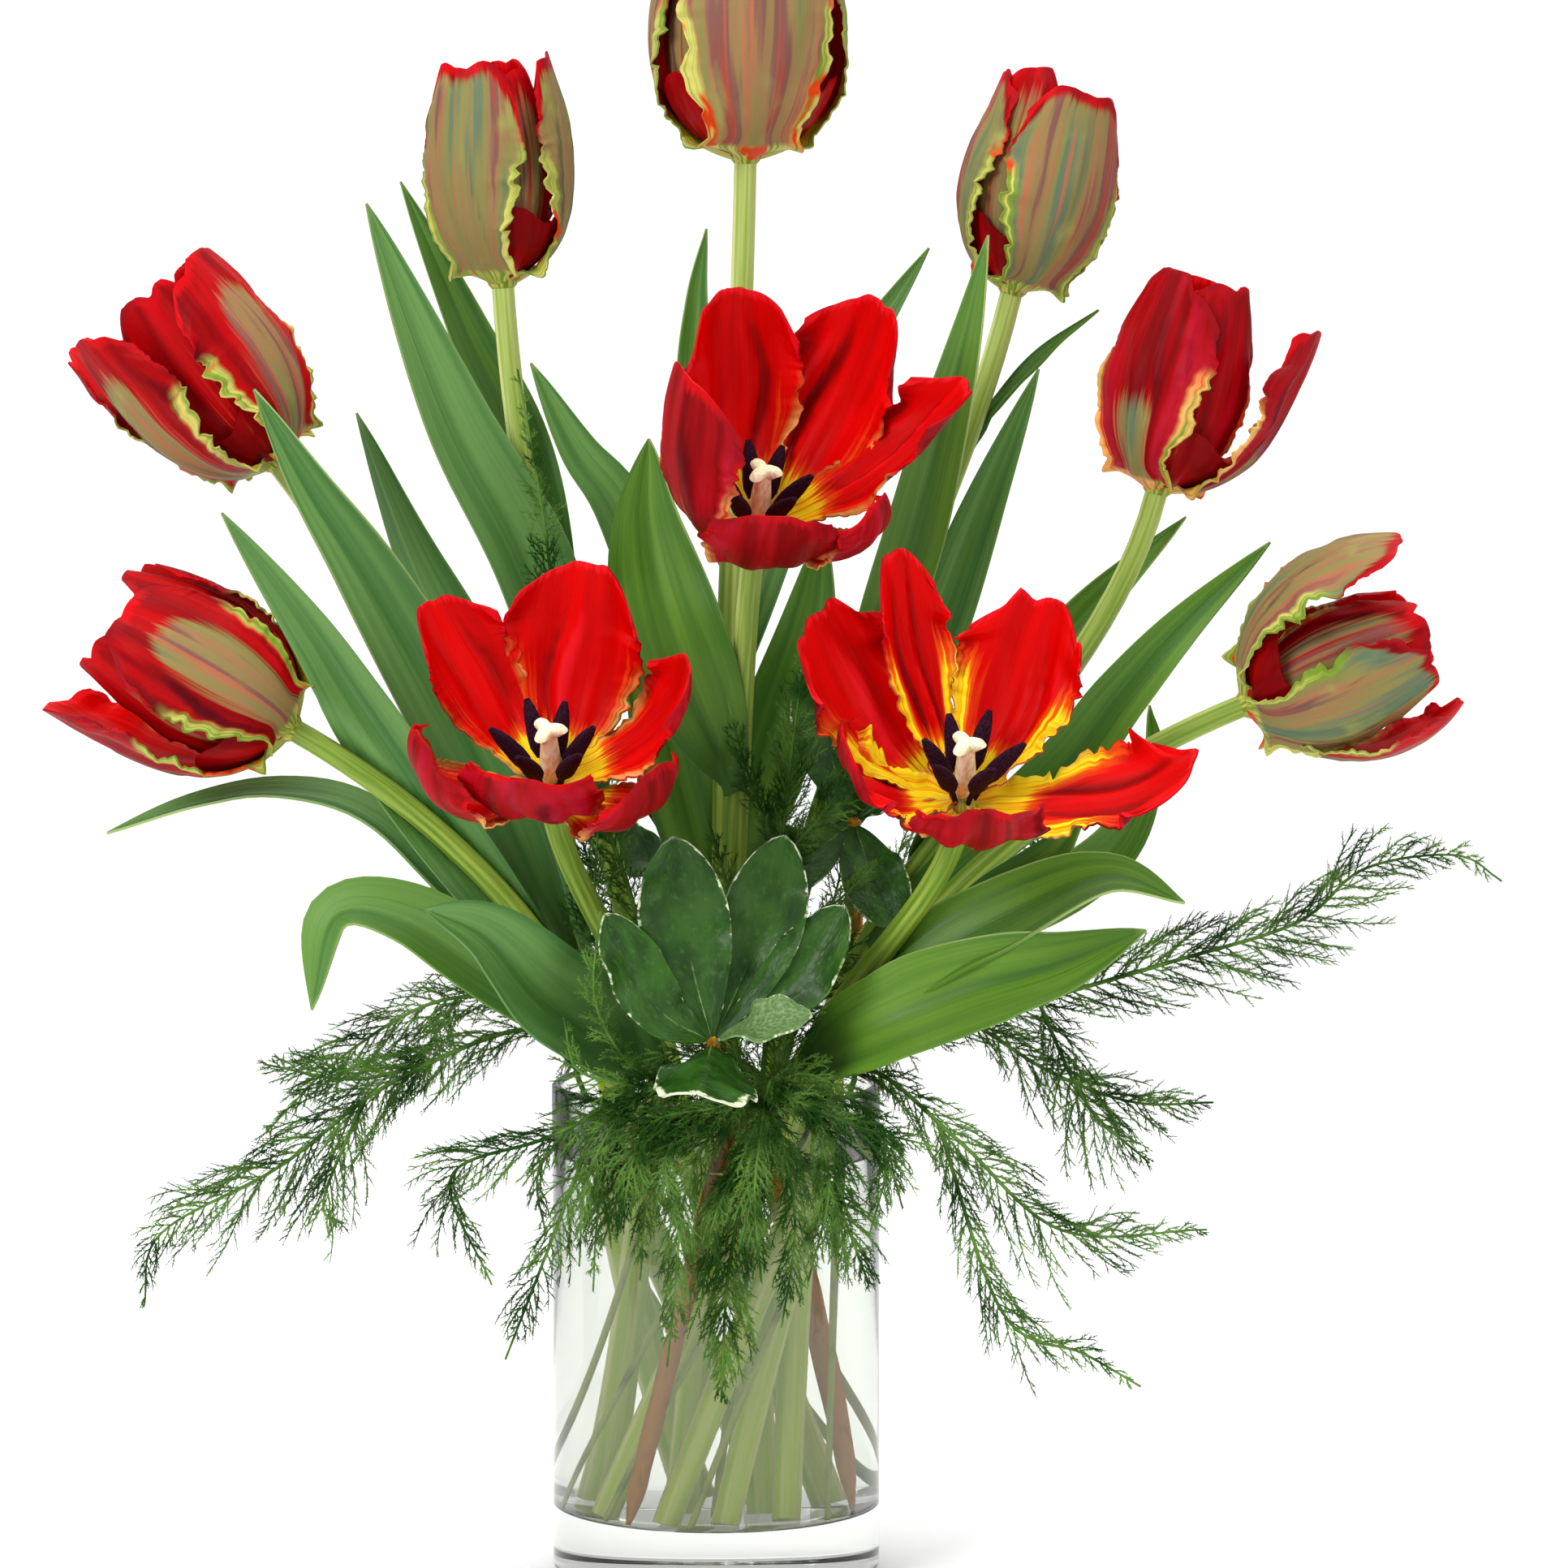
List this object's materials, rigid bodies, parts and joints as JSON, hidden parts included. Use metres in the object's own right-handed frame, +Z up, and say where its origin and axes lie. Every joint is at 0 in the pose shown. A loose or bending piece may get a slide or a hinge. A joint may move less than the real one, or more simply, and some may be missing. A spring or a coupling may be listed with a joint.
{
  "type": "tulips in a vase",
  "caption": "Cut parrot tulips with asparagus fern and cream-edged leaf sprigs standing in water in a clear glass cylinder vase; rests on its flat base.",
  "frame": {"origin": "centre of the vase's flat underside, on the surface that it stands on", "axes": "+Z up along the vase's axis; -Y faces the viewer that the arrangement is made for; +X to that viewer's right"},
  "size_m": [0.439, 0.2139, 0.5116],
  "materials": {
    "glass": "gloss",
    "water": "gloss",
    "petal": "satin",
    "pistil": "matte",
    "tulip_green": "satin",
    "fern_green": "matte",
    "sprig_green": "satin",
    "bark": "matte"
  },
  "bodies": {
    "root": {"bloom_low_left": "petal", "bloom_low_right": "petal", "bloom_mid_left": "petal", "bloom_mid_right": "petal", "bloom_open_centre": "petal", "bloom_open_left": "petal", "bloom_open_right": "petal", "bloom_top": "petal", "bloom_upper_left": "petal", "bloom_upper_right": "petal", "fern_back_left": "fern_green", "fern_back_right": "fern_green", "fern_front_hanging": "fern_green", "fern_left_back": "fern_green", "fern_left_long": "fern_green", "fern_left_low": "fern_green", "fern_right_long": "fern_green", "fern_right_low": "fern_green", "fern_upright_centre": "fern_green", "fern_upright_left": "fern_green", "pistil_open_centre": "pistil", "pistil_open_left": "pistil", "pistil_open_right": "pistil", "sprig_back": "sprig_green", "sprig_front": "sprig_green", "sprig_right": "sprig_green", "stem_low_left": "tulip_green", "stem_low_right": "tulip_green", "stem_mid_left": "tulip_green", "stem_mid_right": "tulip_green", "stem_open_centre": "tulip_green", "stem_open_left": "tulip_green", "stem_open_right": "tulip_green", "stem_top": "tulip_green", "stem_upper_left": "tulip_green", "stem_upper_right": "tulip_green", "twig_back": "bark", "twig_front": "bark", "twig_right": "bark", "vase": "glass", "water": "water"}
  },
  "joints": []
}
